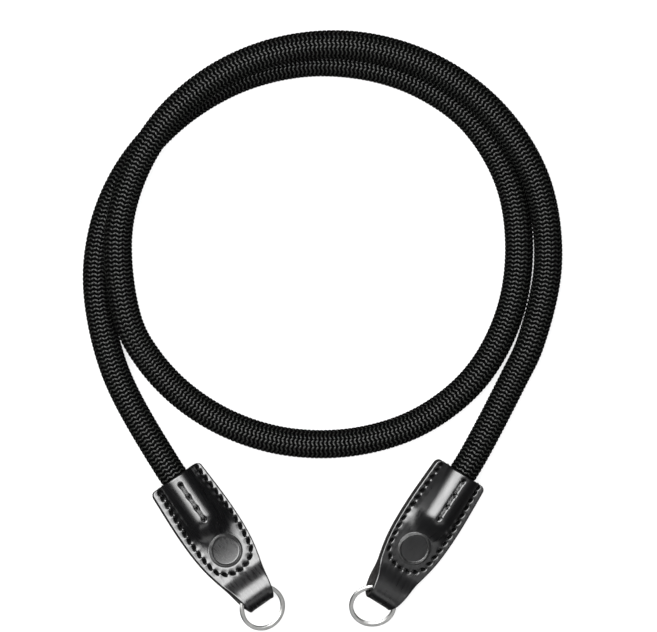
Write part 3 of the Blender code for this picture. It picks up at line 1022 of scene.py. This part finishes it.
def sew(name, tab_mesh, tab, groove, shift):
    """All of a tab's stitches as one piece: a seam and a row in the groove, on its front and its back."""
    stitches = []
    front = (SEAM_THREAD, shaded_seam_thread, SEAM_THREAD_FLATNESS, SEAM_FRONT_REACH, SEAM_FRONT_SLANT, 1)
    back = (SEAM_THREAD, shaded_seam_thread, SEAM_THREAD_FLATNESS, SEAM_BACK_REACH, SEAM_BACK_SLANT, -1)
    holes = seam_holes(shift)
    for start, end in zip(holes, holes[1:]):
        stitches.append(add_stitch(tab_mesh, tab, start, end, *front))
        stitches.append(add_stitch(tab_mesh, tab, start, end, *back))
    long_stitch = (GROOVE_THREAD, lit_groove_thread, GROOVE_THREAD_FLATNESS, GROOVE_STITCH_REACH, 0.0)
    groove_across, groove_holes = groove
    for start, end in zip(groove_holes, groove_holes[1:]):
        near = (groove_across, start)
        far = (groove_across, end)
        stitches.append(add_stitch(tab_mesh, tab, near, far, *long_stitch, 1))
        stitches.append(add_stitch(tab_mesh, tab, near, far, *long_stitch, -1))
    seam = join_as(stitches, name)
    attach(seam, "strap")


bpy.context.view_layer.update()
sew("left_stitches", left_leather, LEFT_TAB, LEFT_GROOVE, LEFT_SEAM_SHIFT)
sew("right_stitches", right_leather, RIGHT_TAB, RIGHT_GROOVE, RIGHT_SEAM_SHIFT)
bpy.data.objects.remove(one_stitch, do_unlink=True)


# Split rings. Each is one flat spring-steel wire wound in nearly two turns, with a joggle between them
# inside the leather fold, and a satin finish. It hangs loose in the fold and its far side rests on the
# table.
RING_DIAMETER = 0.0170
WIRE_WIDTH = 0.00145
WIRE_THICKNESS = 0.00060
TURN_OFFSET = 0.00040
RING_TURNS_DEG = 680
JOGGLE_DEG = 40
RING_POINTS = 200
RING_WELD = 0.000001
RING_CREASE_DEG = 40
HINGE_TO_CENTRE = 0.00574
LEFT_HINGE = (-0.0003, -0.0515, -0.0014)
LEFT_DROOP_DEG = 20.22
RIGHT_HINGE = (-0.0003, -0.0526, -0.0014)
RIGHT_DROOP_DEG = 22.14

satin_steel, steel_shader = new_finish("satin steel", (0.50, 0.50, 0.495), 0.33, 1.0, 0.5)
steel_place = node_of(satin_steel, "ShaderNodeTexCoord")
steel_colour = mottle(
    satin_steel, steel_place.outputs["Object"], 500.0, 3.0, (0.40, 0.40, 0.395), (0.52, 0.52, 0.51)
)
steel_dull = mottle(satin_steel, steel_place.outputs["Object"], 900.0, 4.0, grey(0.28), grey(0.38))
steel_scratch = node_of(satin_steel, "ShaderNodeTexNoise")
steel_scratch.inputs["Scale"].default_value = 2600.0
steel_bump = node_of(satin_steel, "ShaderNodeBump")
steel_bump.inputs["Strength"].default_value = 0.06
steel_bump.inputs["Distance"].default_value = 0.00002
links = satin_steel.node_tree.links
links.new(steel_colour, steel_shader.inputs["Base Color"])
links.new(steel_dull, steel_shader.inputs["Roughness"])
links.new(steel_place.outputs["Object"], steel_scratch.inputs["Vector"])
links.new(steel_scratch.outputs["Fac"], steel_bump.inputs["Height"])
links.new(steel_bump.outputs["Normal"], steel_shader.inputs["Normal"])


def make_ring(name, tab, hinge, droop_deg, body, node):
    """One ring, wound round its own middle, hung from its hinge and put in its place in the fold."""
    wire = bpy.data.curves.new(name, "CURVE")
    wire.dimensions = "3D"
    wire.twist_mode = "Z_UP"
    wire.bevel_depth = WIRE_THICKNESS / 2
    wire.bevel_resolution = 4
    wire.extrude = (WIRE_WIDTH - WIRE_THICKNESS) / 2
    wire.use_fill_caps = True
    turns = wire.splines.new("POLY")
    turns.points.add(RING_POINTS - 1)
    joggle_start = (RING_TURNS_DEG - JOGGLE_DEG) / 2
    for index, point in enumerate(turns.points):
        turned = RING_TURNS_DEG * index / (RING_POINTS - 1)
        angle = math.radians(90 + JOGGLE_DEG / 2 + turned)
        height = TURN_OFFSET * (2 * smoothstep(turned, joggle_start, joggle_start + JOGGLE_DEG) - 1)
        across = (RING_DIAMETER - WIRE_WIDTH) / 2 * math.cos(angle)
        along = (RING_DIAMETER - WIRE_WIDTH) / 2 * math.sin(angle) - HINGE_TO_CENTRE
        point.co = (across, along, height, 1.0)
        point.tilt = math.pi / 2
    coil = bpy.data.objects.new(name, wire)
    bpy.context.scene.collection.objects.link(coil)
    deselect_all()
    coil.select_set(True)
    bpy.context.view_layer.objects.active = coil
    bpy.ops.object.convert(target="MESH")
    coil = bpy.context.object
    coil.name = name
    closed_ends = coil.modifiers.new("closed ends", "WELD")
    closed_ends.merge_threshold = RING_WELD
    finish_modifiers(coil)
    coil.data.transform(tab @ Matrix.Translation(hinge) @ Matrix.Rotation(math.radians(droop_deg), 4, "X"))
    bpy.ops.object.shade_smooth_by_angle(angle=math.radians(RING_CREASE_DEG))
    coil.data.materials.append(satin_steel)
    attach(coil, body)
    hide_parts(node)


make_ring("left_split_ring", LEFT_TAB, LEFT_HINGE, LEFT_DROOP_DEG, "left_ring_body", "left_ring")
make_ring("right_split_ring", RIGHT_TAB, RIGHT_HINGE, RIGHT_DROOP_DEG, "right_ring_body", "right_ring")
